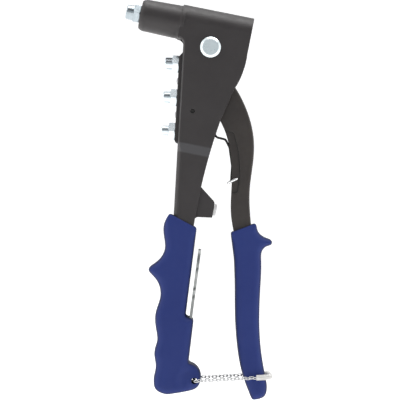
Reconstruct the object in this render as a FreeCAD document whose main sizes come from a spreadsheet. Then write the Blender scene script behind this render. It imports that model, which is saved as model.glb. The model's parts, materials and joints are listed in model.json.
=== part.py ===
"""Hand riveter: a one-hand blind rivet tool, as a parametric FreeCAD document.

Frame of reference: the tool stands upright, +Z up.  The pull axis (barrel, jaws,
mounted nosepiece) runs along X with the nose towards -X, and the origin is the
centre of the mounted nosepiece's tip.  Y = 0 is the plane of symmetry.
Lengths are millimetres.
"""
import FreeCAD, Part
import math
import os
import Sketcher
from FreeCAD import Placement, Rotation, Vector

doc = FreeCAD.newDocument("hand_riveter")

# ---------------------------------------------------------------------------
# Driving dimensions
# ---------------------------------------------------------------------------
DIMENSIONS = [
    # barrel and head
    ("barrel_face", 9.6, "X of the barrel's front face"),
    ("barrel_radius", 11.0, "barrel outside radius where it meets the head"),
    ("barrel_bore", 8.2, "bore radius that guides the jaw case"),
    ("head_front", 36.3, "X where the barrel meets the head"),
    ("head_rear", 83.4, "X of the head's rear edge"),
    ("head_top", 12.0, "Z of the head's rounded top"),
    ("head_half_width", 11.0, "half the width over the cheeks above the joggle"),
    ("handle_half_width", 12.0, "half the width over the cheeks below the joggle"),
    ("wall", 2.3, "wall of the frame"),
    ("joggle_top", -77.7, "Z where the joggle starts"),
    ("joggle_bottom", -83.3, "Z where the joggle ends"),
    ("handle_end", -232.0, "Z of the lower end of the frame's handle"),
    # pivot
    ("pivot_along", 58.9, "X of the lever's pivot"),
    ("pivot_drop", 13.0, "distance of the pivot below the pull axis"),
    ("pin_radius", 4.5, "pivot pin shank radius"),
    ("pin_head_radius", 6.75, "pivot pin head radius"),
    ("pin_head_height", 1.7, "how far the pin's head stands off the cheek"),
    ("running_gap", 0.05, "radial clearance of the pivot and of the jaws' cone"),
    ("bush_radius", 5.3, "pivot bush outside radius"),
    # lever
    ("lever_half_width", 7.3, "half the width over the lever's cheeks"),
    ("lever_wall", 2.5, "thickness of the lever's cheeks and web"),
    ("hub_radius", 7.0, "radius of the lever round its pivot"),
    ("fork_radius", 4.6, "radius of the fork tips on the pull axis"),
    # grips
    ("fixed_grip_half", 14.0, "half the thickness of the fixed grip"),
    ("heel_half", 11.0, "half the thickness of the fixed grip's heel round its hole"),
    ("lever_grip_half", 10.0, "half the thickness of the lever grip"),
    # nosepieces
    ("tip_length", 4.8, "length of a nosepiece's tip"),
    ("collar_length", 4.4, "length of a nosepiece's hexagon"),
    ("hexagon", 11.0, "nosepiece hexagon across flats"),
    ("thread_radius", 4.0, "nosepiece thread radius"),
    ("mounted_bore", 1.5, "bore radius of the mounted nosepiece"),
    ("holder_thickness", 2.2, "thickness of the nosepiece holder strip"),
    ("spare_pitch", 22.1, "spacing of the stored nosepieces"),
    # jaw case
    ("case_radius", 8.12, "jaw case outside radius"),
    ("neck_radius", 3.8, "radius of the neck between the lever's fork"),
    # wrench and chain
    ("wrench_thickness", 1.8, "thickness of the stamped wrench"),
    ("wrench_half_width", 9.5, "half the width of the wrench"),
    ("wrench_length", 63.5, "length of the wrench"),
    ("wrench_lean", 3.7, "lean of the stored wrench from upright, degrees"),
    ("link_length", 3.8, "outside length of a chain link"),
    ("link_width", 2.4, "outside width of a chain link"),
    ("link_wire", 0.7, "wire diameter of a chain link"),
    ("sleeve_radius", 1.8, "outside radius of the chain's plastic sleeve"),
]

sheet = doc.addObject("Spreadsheet::Sheet", "Sizes")
for row, (alias, value, meaning) in enumerate(DIMENSIONS, 1):
    sheet.set(f"A{row}", meaning)
    sheet.set(f"B{row}", str(value))
    sheet.setAlias(f"B{row}", alias)
doc.recompute()


def size(alias):
    """The number that the sheet holds under this alias."""
    return float(sheet.get(alias))


# sizes used in many places, read once from the sheet
WALL = size("wall")
HEAD_HALF = size("head_half_width")
HANDLE_HALF = size("handle_half_width")
LEVER_HALF = size("lever_half_width")
LEVER_WALL = size("lever_wall")
HUB = size("hub_radius")
PIVOT = Vector(size("pivot_along"), 0, -size("pivot_drop"))
OUTSIDE = 20.0          # beyond any part of the tool, for cuts that run right out
UPRIGHT = Rotation()
ALONG_Y = Rotation(Vector(0, 0, 1), 90)     # turns a part made along X to lie along Y

# front edge of the cheeks: a straight line, given by one point and its lean
FRONT_TOP = Vector(41.2, 0, -15.9)
FRONT_LEAN = 0.142      # X gained per mm down
FRONT_DOWN = Vector(FRONT_LEAN, 0, -1).normalize()
FRONT_OUT = Vector(-1, 0, -FRONT_LEAN).normalize()


def front_edge(z, inwards=0.0):
    """The point of the front edge at height z, moved inwards along X."""
    return (FRONT_TOP.x + FRONT_LEAN * (FRONT_TOP.z - z) + inwards, z)


# ---------------------------------------------------------------------------
# Helpers
# ---------------------------------------------------------------------------
NODES = []              # the objects that are written to parts/, in order


def new_body(label):
    body = doc.addObject("PartDesign::Body", label)
    body.Label = label
    NODES.append(body)
    return body


def new_sketch(body, role, offset=0.0):
    """A sketch on one of the body's own origin planes, moved along its normal."""
    sketch = body.newObject("Sketcher::SketchObject", body.Label + "_sketch")
    plane = next(f for f in body.Origin.OriginFeatures if f.Role == role)
    sketch.AttachmentSupport = (plane, [""])
    sketch.MapMode = "FlatFace"
    sketch.AttachmentOffset = Placement(Vector(0, 0, offset), UPRIGHT)
    return sketch


def draw(sketch, start, *pieces):
    """A closed outline from start.  A piece is a point (a line to it), a list of
    two points (an arc through the first to the second) or a longer list (a smooth
    curve through them).  The last piece is closed by a line if it has to be."""
    here = Vector(*start, 0)
    first = sketch.GeometryCount
    corners = []
    for piece in (*pieces, start):
        points = [piece] if isinstance(piece, tuple) else piece
        points = [Vector(*p, 0) for p in points]
        if points[-1].distanceToPoint(here) < 1e-6:
            continue
        if len(points) == 1:
            sketch.addGeometry(Part.LineSegment(here, points[0]))
        elif len(points) == 2:
            sketch.addGeometry(Part.Arc(here, *points))
        else:
            curve = Part.BSplineCurve()
            curve.interpolate([here, *points])
            sketch.addGeometry(curve)
        here = points[-1]
        corners.append(here)
    last = sketch.GeometryCount - 1

    def end_at(n, corner):
        """1 or 2: which end of geometry n lies at a corner."""
        return min((1, 2), key=lambda end: sketch.getPoint(n, end).distanceToPoint(corner))

    for n, corner in zip(range(first, last + 1), corners):
        after = n + 1 if n < last else first
        meeting = (n, end_at(n, corner), after, end_at(after, corner))
        sketch.addConstraint(Sketcher.Constraint("Coincident", *meeting))
    return sketch


def circle(sketch, along, up, radius):
    """A circle whose radius is bound to an expression over the sheet."""
    n = sketch.addGeometry(Part.Circle(Vector(along, up, 0), Vector(0, 0, 1), 1.0))
    centre = 3
    sketch.addConstraint(Sketcher.Constraint("DistanceX", n, centre, along))
    sketch.addConstraint(Sketcher.Constraint("DistanceY", n, centre, up))
    index = sketch.addConstraint(Sketcher.Constraint("Radius", n, 1.0))
    sketch.renameConstraint(index, f"radius{n}")
    sketch.setExpression(f"Constraints.radius{n}", radius)
    return sketch


def hexagon(sketch, half_flats):
    """A regular hexagon about the sketch's origin, with flats at top and bottom."""
    corner = half_flats / math.cos(math.radians(30))
    turns = [math.radians(60 * n) for n in range(6)]
    corners = [(corner * math.cos(a), corner * math.sin(a)) for a in turns]
    return draw(sketch, *corners)


def feature(body, kind, sketch, **settings):
    made = body.newObject("PartDesign::" + kind, f"{body.Label}_{kind.lower()}")
    made.Profile = sketch
    for name, value in settings.items():
        setattr(made, name, value)
    return made


def pad(body, sketch, length, side="Symmetric", reverse=False):
    """A pad whose length is an expression over the sheet."""
    made = feature(body, "Pad", sketch, SideType=side, Reversed=reverse)
    made.setExpression("Length", length)
    return made


def cut(body, made):
    """Checks that a cut feature took something away."""
    before = made.BaseFeature.Shape.Volume if made.BaseFeature else body.Tip.Shape.Volume
    doc.recompute()
    if made.Shape.Volume > before - 1e-3:
        raise RuntimeError(f"{made.Name} cuts nothing from {body.Label}")
    return made


def pocket(body, sketch, length, side="Symmetric", reverse=False):
    """A pocket whose depth is an expression over the sheet."""
    doc.recompute()
    made = feature(body, "Pocket", sketch, SideType=side, Reversed=reverse)
    made.setExpression("Length", length)
    return cut(body, made)


def revolve(body, sketch, kind="Revolution", angle=360.0):
    """A solid or a groove turned about the sketch's horizontal axis."""
    doc.recompute()
    made = feature(body, kind, sketch, ReferenceAxis=(sketch, ["H_Axis"]), Angle=angle)
    return cut(body, made) if kind == "Groove" else made


def dress(body, kind, edges, amount):
    """A fillet or chamfer on the edges of the tip that the test picks."""
    doc.recompute()
    base = body.Tip
    names = [f"Edge{n}" for n, edge in enumerate(base.Shape.Edges, 1) if edges(edge)]
    made = body.newObject("PartDesign::" + kind, f"{body.Label}_{kind.lower()}")
    made.Base = (base, names)
    setattr(made, "Radius" if kind == "Fillet" else "Size", amount)
    doc.recompute()
    return made


def turned(label, start, *pieces, place=None):
    """A turned part: an outline of (along, radius) points spun about X."""
    body = new_body(label)
    revolve(body, draw(new_sketch(body, "XZ_Plane"), start, *pieces))
    body.Placement = place or Placement()
    return body


def tube(label, begin, end, inner, outer, place=None):
    """A plain ring or bush from begin to end along X."""
    corners = [(begin, inner), (end, inner), (end, outer), (begin, outer)]
    return turned(label, *corners, place=place)


def at_pivot(y=0.0):
    """Places a part made along X on the pivot, along Y."""
    return Placement(PIVOT + Vector(0, y, 0), ALONG_Y)


def mirrored_pair(label, body):
    """One node of a solid and its mirror image across the plane of symmetry."""
    NODES.remove(body)
    body.Label = label + "_half"
    other = doc.addObject("Part::Mirroring", label + "_mirror")
    other.Source = body
    other.Normal = Vector(0, 1, 0)
    pair = doc.addObject("Part::Compound", label)
    pair.Label = label
    pair.Links = [body, other]
    NODES.append(pair)
    return pair


def at_side(edge, half):
    """Does an edge lie flat in one of the faces y = half or y = -half?"""
    ends = [abs(v.Point.y) for v in edge.Vertexes]
    middle = abs(edge.valueAt((edge.FirstParameter + edge.LastParameter) / 2).y)
    return all(abs(y - half) < 1e-4 for y in [*ends, middle])


# ---------------------------------------------------------------------------
# Frame
# ---------------------------------------------------------------------------
def make_frame():
    """Barrel, head and handle in one: a channel closed in front and on top."""
    body = new_body("frame")
    front, rear, top = size("head_front"), size("head_rear"), size("head_top")
    axis_side = size("barrel_radius")
    end = size("handle_end")

    # the fillet between barrel and front edge touches both
    throat = 4.0
    drop = FRONT_TOP.z + FRONT_OUT.z * throat + axis_side + throat
    touch = FRONT_TOP - FRONT_DOWN * (drop / FRONT_DOWN.z)
    centre = touch + FRONT_OUT * throat
    middle = centre + (Vector(0, 0, 1) - FRONT_OUT).normalize() * throat

    # side outline, front edge first; the handle keeps on down inside the grip
    side = draw(
        new_sketch(body, "XZ_Plane"),
        (front, top),
        (front, -axis_side),
        (centre.x, -axis_side),
        [(middle.x, middle.z), (touch.x, touch.z)],
        front_edge(end),
        (front_edge(end)[0] + 5.5, end),
        (73.0, -187.0),
        (70.8, -123.0),
        (70.8, -103.0),
        [(72.2, -79.0), (74.7, -58.0)],
        (79.7, -35.4),
        [(82.8, -25.0), (rear, -12.5)],
        (rear, top),
    )
    pad(body, side, "2 * Sizes.handle_half_width")

    def on_front(edge):
        """The two long edges of the front, which have a rounded bend."""
        long = edge.BoundBox.ZLength > 150
        return at_side(edge, HANDLE_HALF) and long and edge.BoundBox.XMin < 45

    dress(body, "Fillet", on_front, 3.6)

    # the section: round top, cheeks, and the joggle that widens the handle
    arch = top - HEAD_HALF
    upper, lower = size("joggle_top"), size("joggle_bottom")
    section = new_sketch(body, "YZ_Plane")
    draw(section, (-OUTSIDE, OUTSIDE), (OUTSIDE, OUTSIDE),
         (OUTSIDE, end - OUTSIDE), (-OUTSIDE, end - OUTSIDE))
    draw(
        section,
        (-HEAD_HALF, arch),
        [(0, top), (HEAD_HALF, arch)],
        (HEAD_HALF, upper),
        (HANDLE_HALF, lower),
        (HANDLE_HALF, end - 1),
        (-HANDLE_HALF, end - 1),
        (-HANDLE_HALF, lower),
        (-HEAD_HALF, upper),
    )
    pocket(body, section, "Sizes.head_rear + 20", "One side", reverse=True)

    # the barrel, slightly tapered, with a rounded nose and a soft root
    face, radius = size("barrel_face"), size("barrel_radius")
    barrel = draw(
        new_sketch(body, "XZ_Plane"),
        (face, 0),
        (face, radius - 1.9),
        [(face + 1.2, radius - 1.1), (face + 4.2, radius - 0.5)],
        (front - 3.0, radius),
        [(front - 0.6, radius + 0.15), (front + 0.4, radius + 0.6)],
        (front + 2.4, radius + 0.6),
        (front + 2.4, 0),
    )
    revolve(body, barrel)

    # the hollow: the cheeks stand apart, closed in front and, in the head, above
    inner = HEAD_HALF - WALL
    wall_in_front = front + 2.2
    web = WALL + 0.4
    hollow = draw(
        new_sketch(body, "XZ_Plane"),
        (wall_in_front, arch),
        (wall_in_front, -12.6),
        front_edge(-19.0, web),
        front_edge(end + 4, web),
        (rear + OUTSIDE, end + 4),
        (rear + OUTSIDE, arch),
    )
    pocket(body, hollow, "2 * (Sizes.head_half_width - Sizes.wall)")
    wide = draw(
        new_sketch(body, "XZ_Plane"),
        front_edge(lower, web),
        front_edge(end + 4, web),
        (rear + OUTSIDE, end + 4),
        (rear + OUTSIDE, lower),
    )
    pocket(body, wide, "2 * (Sizes.handle_half_width - Sizes.wall)")
    round_top = circle(new_sketch(body, "YZ_Plane", wall_in_front), 0, arch,
                       "Sizes.head_half_width - Sizes.wall")
    pocket(body, round_top, "Sizes.head_rear", "One side", reverse=True)
    assert inner > size("case_radius")

    # barrel bore, with a counterbore for the nose bush
    bore = draw(
        new_sketch(body, "XZ_Plane"),
        (0, 0),
        (0, 7.5),
        (BUSH_END, 7.5),
        (BUSH_END, size("barrel_bore")),
        (wall_in_front + 1, size("barrel_bore")),
        (wall_in_front + 1, 0),
    )
    revolve(body, bore, "Groove")

    # cross holes: pivot and spring anchor
    holes = circle(new_sketch(body, "XZ_Plane"), PIVOT.x, PIVOT.z, "Sizes.pin_radius")
    circle(holes, *ANCHOR, "1.5")
    pocket(body, holes, "3 * Sizes.handle_half_width")

    # holes in the front web for the stored nosepieces and the holder's rivets
    for centre in [*SPARES, *HOLDER_RIVETS]:
        radius = size("thread_radius") + 0.3 if centre in SPARES else RIVET_RADIUS
        drill_web(body, centre, radius)
    return body


def drill_web(body, centre, radius):
    """A hole square to the front edge, through the front web only."""
    sketch = new_sketch(body, "YZ_Plane")
    across = Rotation(Vector(0, 1, 0), Vector(0, 0, 1), FRONT_OUT, "ZXY")
    sketch.MapMode = "Deactivated"
    sketch.Placement = Placement(centre + FRONT_OUT * 2, across)
    circle(sketch, 0, 0, str(radius))
    return pocket(body, sketch, "8", "One side")


BUSH_END = 19.0                         # X of the nose bush's inner end
ANCHOR = (55.6, -56.2)                  # X, Z of the spring anchor pin
HOLDER_TOP, HOLDER_BOTTOM = 3.6, 63.2   # the holder strip, measured down the edge
SPARE_FIRST = 11.2                      # first stored nosepiece, down the edge
RIVET_RADIUS = 1.6


def down_front(distance):
    """The point of the front edge at this distance below its top."""
    return FRONT_TOP + FRONT_DOWN * distance


SPARES = [down_front(SPARE_FIRST + n * size("spare_pitch")) for n in range(3)]
HOLDER_RIVETS = [down_front(SPARE_FIRST + n * size("spare_pitch")) for n in (0.5, 1.5)]


# ---------------------------------------------------------------------------
# Nose: bush, nosepieces and their holder
# ---------------------------------------------------------------------------
def make_nosepiece(label, tip_radius, bore_radius, place=None):
    """Tip, hexagon and threaded shank, made along X from the tip's end."""
    tip, collar = size("tip_length"), size("collar_length")
    flats, thread = size("hexagon") / 2, size("thread_radius")
    shank_end = tip + collar + 8.6
    body = new_body(label)
    pad(body, hexagon(new_sketch(body, "YZ_Plane", tip), flats), "Sizes.collar_length",
        "One side")
    corner = flats / math.cos(math.radians(30))
    # the hexagon's corners are turned off on both sides
    for edge, inward in ((tip, 1), (tip + collar, -1)):
        revolve(body, draw(
            new_sketch(body, "XZ_Plane"),
            (edge - inward * 0.01, flats - 0.1),
            (edge - inward * 0.01, corner + 1),
            (edge + inward * 1.0, corner + 1),
        ), "Groove")
    revolve(body, draw(
        new_sketch(body, "XZ_Plane"),
        (0, 0),
        (0, tip_radius - 0.9),
        [(0.25, tip_radius - 0.3), (0.9, tip_radius)],
        (tip, tip_radius + 0.15),
        (tip + collar, tip_radius + 0.15),
        (tip + collar, thread - 0.5),
        (tip + collar + 1.0, thread - 0.5),
        (tip + collar + 1.4, thread),
        (shank_end - 0.7, thread),
        (shank_end, thread - 0.7),
        (shank_end, 0),
    ))
    revolve(body, draw(
        new_sketch(body, "XZ_Plane"),
        (-1, 0),
        (-1, bore_radius),
        (shank_end - 2.2, bore_radius),
        (shank_end + 1, bore_radius + 2.0),
        (shank_end + 1, 0),
    ), "Groove")
    body.Placement = place or Placement()
    return body


def make_nose():
    """The nose bush in the barrel and the nosepiece that screws into it."""
    face = size("barrel_face")
    turned(
        "nose_bush",
        (face + 0.5, size("thread_radius")),
        (face + 0.5, 7.5),
        (BUSH_END, 7.5),
        (BUSH_END, 5.2),
        (BUSH_END - 1.2, size("thread_radius")),
    )
    make_nosepiece("nosepiece_mounted", 4.8, size("mounted_bore"))


def make_spares():
    """Three nosepieces of other bores, screwed into the holder on the front."""
    reach = size("holder_thickness") + size("tip_length") + size("collar_length")
    inwards = Rotation(Vector(1, 0, 0), -FRONT_OUT)
    bores = [(4.3, 1.25), (4.0, 1.0), (3.5, 0.8)]
    for n, (tip_radius, bore_radius) in enumerate(bores):
        tip_centre = SPARES[n] + FRONT_OUT * reach
        make_nosepiece(f"nosepiece_stored_{n + 1}", tip_radius, bore_radius,
                       Placement(tip_centre, inwards))


def make_holder():
    """The strip along the front edge: chamfered above, rounded below."""
    body = new_body("nosepiece_holder")
    half, thick = 6.6, size("holder_thickness")
    top, bottom = down_front(HOLDER_TOP), down_front(HOLDER_BOTTOM)
    low_outer = bottom + FRONT_OUT * thick
    chamfer = top + FRONT_DOWN * 2.6 + FRONT_OUT * thick
    start_round = low_outer - FRONT_DOWN * 2.4
    bulge = bottom + FRONT_OUT * (thick * 0.7) - FRONT_DOWN * 0.6
    flat = [(p.x, p.z) for p in (top, chamfer, start_round, bulge, bottom)]
    pad(body, draw(new_sketch(body, "XZ_Plane"), flat[0], flat[1], flat[2],
                   [flat[3], flat[4]]), str(2 * half))
    for centre in SPARES:
        drill_web(body, centre + FRONT_OUT * thick, size("thread_radius"))
    for centre in HOLDER_RIVETS:
        drill_web(body, centre + FRONT_OUT * thick, RIVET_RADIUS)

    # two small rivets, as one group of two solids
    inwards = Rotation(Vector(1, 0, 0), -FRONT_OUT)
    rivets = []
    for n, centre in enumerate(HOLDER_RIVETS):
        rivet = turned(
            f"holder_rivet_{n + 1}",
            (-0.9, 0),
            (-0.9, 0.5),
            [(-0.6, 1.6), (0, 2.6)],
            (0, RIVET_RADIUS),
            (thick + WALL + 0.4, RIVET_RADIUS),
            (thick + WALL + 0.4, 2.4),
            [(thick + WALL + 1.0, 1.5), (thick + WALL + 1.2, 0.5)],
            (thick + WALL + 1.2, 0),
            place=Placement(centre + FRONT_OUT * thick, inwards),
        )
        NODES.remove(rivet)
        rivets.append(rivet)
    group = doc.addObject("Part::Compound", "holder_rivets")
    group.Label = "holder_rivets"
    group.Links = rivets
    NODES.append(group)


# ---------------------------------------------------------------------------
# Pivot
# ---------------------------------------------------------------------------
def make_pivot():
    """Pin with a chamfered head in front and a riveted end behind."""
    pin, head = size("pin_radius"), size("pin_head_radius")
    high = size("pin_head_height")
    washer = 1.2
    turned(
        "pivot_pin",
        (-HEAD_HALF - high, 0),
        (-HEAD_HALF - high, head - 1.5),
        (-HEAD_HALF - high + 1.0, head),
        (-HEAD_HALF, head),
        (-HEAD_HALF, pin),
        (HEAD_HALF + washer, pin),
        (HEAD_HALF + washer, pin + 1.3),
        [(HEAD_HALF + washer + 0.9, pin), (HEAD_HALF + washer + 1.3, 1.0)],
        (HEAD_HALF + washer + 1.3, 0),
        place=at_pivot(),
    )
    tube("pivot_washer", HEAD_HALF, HEAD_HALF + washer, pin, head + 0.6, at_pivot())
    tube("pivot_bush", -LEVER_HALF - 0.6, LEVER_HALF + 0.6,
         pin + size("running_gap"), size("bush_radius"), at_pivot())
    thrust = tube("thrust_washer", LEVER_HALF + 0.3, HEAD_HALF - WALL - 0.1,
                  size("bush_radius") + 0.3, HUB + 1.6, at_pivot())
    mirrored_pair("thrust_washers", thrust)
    turned(
        "spring_anchor_pin",
        (-HEAD_HALF + 1.3, 0),
        (-HEAD_HALF + 1.3, 1.2),
        (-HEAD_HALF + 1.6, 1.5),
        (HEAD_HALF - 1.6, 1.5),
        (HEAD_HALF - 1.3, 1.2),
        (HEAD_HALF - 1.3, 0),
        place=Placement(Vector(ANCHOR[0], 0, ANCHOR[1]), ALONG_Y),
    )


# ---------------------------------------------------------------------------
# Lever
# ---------------------------------------------------------------------------
LEVER_BACK = [(80.1, -35.4), (91.6, -50.6), (98.4, -66.0), (101.1, -82.0),
              (102.2, -98.0), (107.2, -119.8), (113.0, -140.0), (117.6, -162.0),
              (122.0, -184.7), (130.0, -212.0)]
LEVER_FRONT = [(122.0, -214.0), (112.6, -184.0), (107.8, -160.6), (102.9, -141.0),
               (93.9, -118.4), (89.9, -96.0), (84.4, -75.2), (74.7, -58.3)]


def make_lever():
    """A channel, open towards the fixed handle, whose two cheeks fork over the
    neck of the jaw case above the pivot."""
    body = new_body("lever")
    tip = size("fork_radius")
    x, z = PIVOT.x, PIVOT.z

    def round_from(centre_z, radius, degrees):
        """A point of a circle about (x, centre_z)."""
        turn = math.radians(degrees)
        return (x + radius * math.cos(turn), centre_z + radius * math.sin(turn))

    side = draw(
        new_sketch(body, "XZ_Plane"),
        (x - tip, 0),
        [(x, tip), round_from(0, tip, -50)],
        round_from(z, HUB, 65),
        [round_from(z, HUB, 20), round_from(z, HUB, -30)],
        LEVER_BACK[0],
        LEVER_BACK[1:],
        LEVER_FRONT[0],
        LEVER_FRONT[1:],
        (54.3, z - 5.3),
        [(x - HUB, z), (x - tip - 0.9, z + 4.2)],
    )
    pad(body, side, "2 * Sizes.lever_half_width")

    def on_back(edge):
        """The back edge and the straight run above it, up to the hub."""
        box = edge.BoundBox
        run = box.ZMin < -30 and box.XMax > 79 and box.ZLength > 15
        return at_side(edge, LEVER_HALF) and run and box.ZMax > -40

    dress(body, "Fillet", on_back, 1.6)

    # inside of the channel: the back edge moved in by the web's thickness
    web_inside = [(px - LEVER_WALL, pz) for px, pz in LEVER_BACK[1:-1]]
    floor = LEVER_BACK[-1][1] + LEVER_WALL
    inside = draw(
        new_sketch(body, "XZ_Plane"),
        (30, OUTSIDE),
        (OUTSIDE * 5, OUTSIDE),
        (OUTSIDE * 5, -30.0),
        (74.0, -30.0),
        (76.5, -37.0),
        [*web_inside, (LEVER_BACK[-1][0] - LEVER_WALL - 0.7, floor)],
        (30, floor),
    )
    pocket(body, inside, "2 * (Sizes.lever_half_width - Sizes.lever_wall)")

    # shallow recess along the inner edge of each cheek
    band = [(84.7, -64.6), (91.3, -78.8), (94.3, -92.0), (95.0, -101.5)]
    for side_of in (1, -1):
        recess = draw(
            new_sketch(body, "XZ_Plane", side_of * LEVER_HALF),
            band[0],
            band[1:],
            [(92.5, -103.6), (90.0, -102.6)],
            (80.0, -96.0),
            (70.0, -62.0),
        )
        pocket(body, recess, "0.8", "One side", reverse=side_of < 0)

    pivot = circle(new_sketch(body, "XZ_Plane"), x, z, "Sizes.bush_radius")
    pocket(body, pivot, "4 * Sizes.lever_half_width")
    return body


def make_return_spring():
    """Torsion spring: a coil round the pivot bush, a short leg that bears on the
    frame's web and a long leg that runs down the lever's inner edge to a hook."""
    wire, mean, turns = 0.75, 6.2, 3
    pitch = 2 * wire + 0.2
    coil = Part.makeHelix(pitch, turns * pitch, mean)
    coil.rotate(Vector(), Vector(1, 0, 0), 90)
    coil.rotate(Vector(), Vector(0, 1, 0), 180)
    coil.translate(PIVOT + Vector(0, turns * pitch / 2, 0))
    ends = sorted((v.Point for v in coil.Vertexes), key=lambda p: p.y)
    # the long leg leaves the front end of the coil, downwards
    front_end, rear_end = ends
    level = front_end.y
    edge = LEVER_HALF + wire + 0.1
    long_leg = [
        front_end,
        Vector(front_end.x + 0.6, level, -30.0),
        Vector(70.6, level, -66.0),
        Vector(74.4, level, -69.6),
        Vector(80.4, level, -69.9),
        Vector(84.0, level, -74.5),
        Vector(88.0, level, -86.0),
        Vector(89.3, level, -96.0),
    ]
    hook = [
        Vector(87.6, level, -97.6),
        Vector(87.6, -edge, -97.6),
        Vector(92.6, -edge, -93.8),
    ]
    short_leg = [rear_end, Vector(rear_end.x - 0.2, rear_end.y, -26.0)]
    shapes = [swept([coil.Wires[0]] if coil.Wires else [Part.Wire(coil.Edges)], wire)]
    for route in (long_leg, [long_leg[-1], *hook], short_leg):
        shapes.append(rod(route, wire))
    whole = shapes[0].fuse(shapes[1:])
    add_shape("return_spring", whole)


def swept(wires, radius):
    """A round wire of this radius along a path."""
    path = wires[0]
    first = path.OrderedEdges[0]
    start, along = first.valueAt(first.FirstParameter), first.tangentAt(first.FirstParameter)
    ring = Part.Wire(Part.makeCircle(radius, start, along))
    return path.makePipeShell([ring], True, True)


def rod(points, radius):
    """A round rod along straight runs, with a ball at each point."""
    pieces = []
    for a, b in zip(points, points[1:]):
        pieces.append(Part.makeCylinder(radius, (b - a).Length, a, b - a))
        pieces.append(Part.makeSphere(radius, b))
    pieces.append(Part.makeSphere(radius, points[0]))
    return pieces[0].fuse(pieces[1:])


def add_shape(label, shape):
    made = doc.addObject("Part::Feature", label)
    made.Label = label
    made.Shape = shape
    NODES.append(made)
    return made


# ---------------------------------------------------------------------------
# Jaw case
# ---------------------------------------------------------------------------
JAW_FRONT = 27.0            # X of the jaw head's front face at rest
CONE_START, CONE_END = JAW_FRONT + 1, JAW_FRONT + 13
CONE_SMALL, CONE_LARGE = 3.4, 5.9
JOINT = JAW_FRONT + 14      # X where jaw head and jaw sleeve meet
SPIGOT, SPIGOT_LENGTH = 7.0, 4.0
SLEEVE_END = 50.5           # X of the sleeve's shoulder
COLLAR_FRONT = PIVOT.x + size("fork_radius") + 0.7
COLLAR_LENGTH = 4.6
COLLAR_FLAT = -4.1          # Z of the collar's flat underside, above the hub
PUSHER_FRONT, PUSHER_REAR = 39.1, 43.0


def cone_radius(x):
    return CONE_SMALL + (CONE_LARGE - CONE_SMALL) * (x - CONE_START) / (CONE_END - CONE_START)


def make_jaw_case():
    case, neck = size("case_radius"), size("neck_radius")
    turned(
        "jaw_head",
        (JAW_FRONT, 2.8),
        (JAW_FRONT, case - 1.6),
        (JAW_FRONT + 1.6, case),
        (JOINT, case),
        (JOINT, SPIGOT),
        (JOINT + SPIGOT_LENGTH, SPIGOT),
        (JOINT + SPIGOT_LENGTH, CONE_LARGE),
        (CONE_END, CONE_LARGE),
        (CONE_START, CONE_SMALL),
        (CONE_START, 2.8),
    )
    collar_end = COLLAR_FRONT + COLLAR_LENGTH
    turned(
        "jaw_sleeve",
        (JOINT, SPIGOT),
        (JOINT, case),
        (SLEEVE_END - 0.6, case),
        (SLEEVE_END, case - 0.6),
        (SLEEVE_END, neck),
        (collar_end + 1.0, neck),
        (collar_end + 1.0, 2.0),
        (SLEEVE_END - 1.5, 2.0),
        (SLEEVE_END - 1.5, CONE_LARGE),
        (JOINT + SPIGOT_LENGTH, CONE_LARGE),
        (JOINT + SPIGOT_LENGTH, SPIGOT),
    )
    collar = tube("draw_collar", COLLAR_FRONT, collar_end, neck, 7.6)
    flat = draw(
        new_sketch(collar, "XZ_Plane"),
        (COLLAR_FRONT - 1, COLLAR_FLAT),
        (collar_end + 1, COLLAR_FLAT),
        (collar_end + 1, -OUTSIDE),
        (COLLAR_FRONT - 1, -OUTSIDE),
    )
    pocket(collar, flat, "20")

    # three jaws: 110 degree segments of the cone round the mandrel
    jaws = new_body("jaws")
    front, rear, gap = JAW_FRONT + 3, PUSHER_FRONT, size("running_gap")
    segment = draw(
        new_sketch(jaws, "XZ_Plane"),
        (front, 1.3),
        (front, cone_radius(front) - gap),
        (rear, cone_radius(rear) - gap),
        (rear - 1.2, 1.3),
    )
    revolve(jaws, segment, angle=110)
    doc.recompute()
    around = jaws.newObject("PartDesign::PolarPattern", "jaws_pattern")
    around.Originals = [jaws.Tip]
    around.Axis = (segment, ["H_Axis"])
    around.Angle = 360
    around.Occurrences = 3
    jaws.Tip = around

    turned(
        "jaw_pusher",
        (PUSHER_FRONT - 1.0, 1.6),
        (PUSHER_FRONT + 0.3, 3.4),
        (PUSHER_FRONT + 0.3, 5.5),
        (PUSHER_REAR, 5.5),
        (PUSHER_REAR, 2.9),
        (PUSHER_REAR + 2.0, 2.9),
        (PUSHER_REAR + 2.0, 1.6),
    )
    wire, mean, turns = 0.5, 4.3, 3.5
    space = SLEEVE_END - 1.5 - PUSHER_REAR - 2 * wire - 0.1
    helix = Part.makeHelix(space / turns, space, mean)
    helix.rotate(Vector(), Vector(0, 1, 0), 90)
    helix.translate(Vector(PUSHER_REAR + wire + 0.05, 0, 0))
    path = helix.Wires[0] if helix.Wires else Part.Wire(helix.Edges)
    add_shape("jaw_spring", swept([path], wire))


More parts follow.
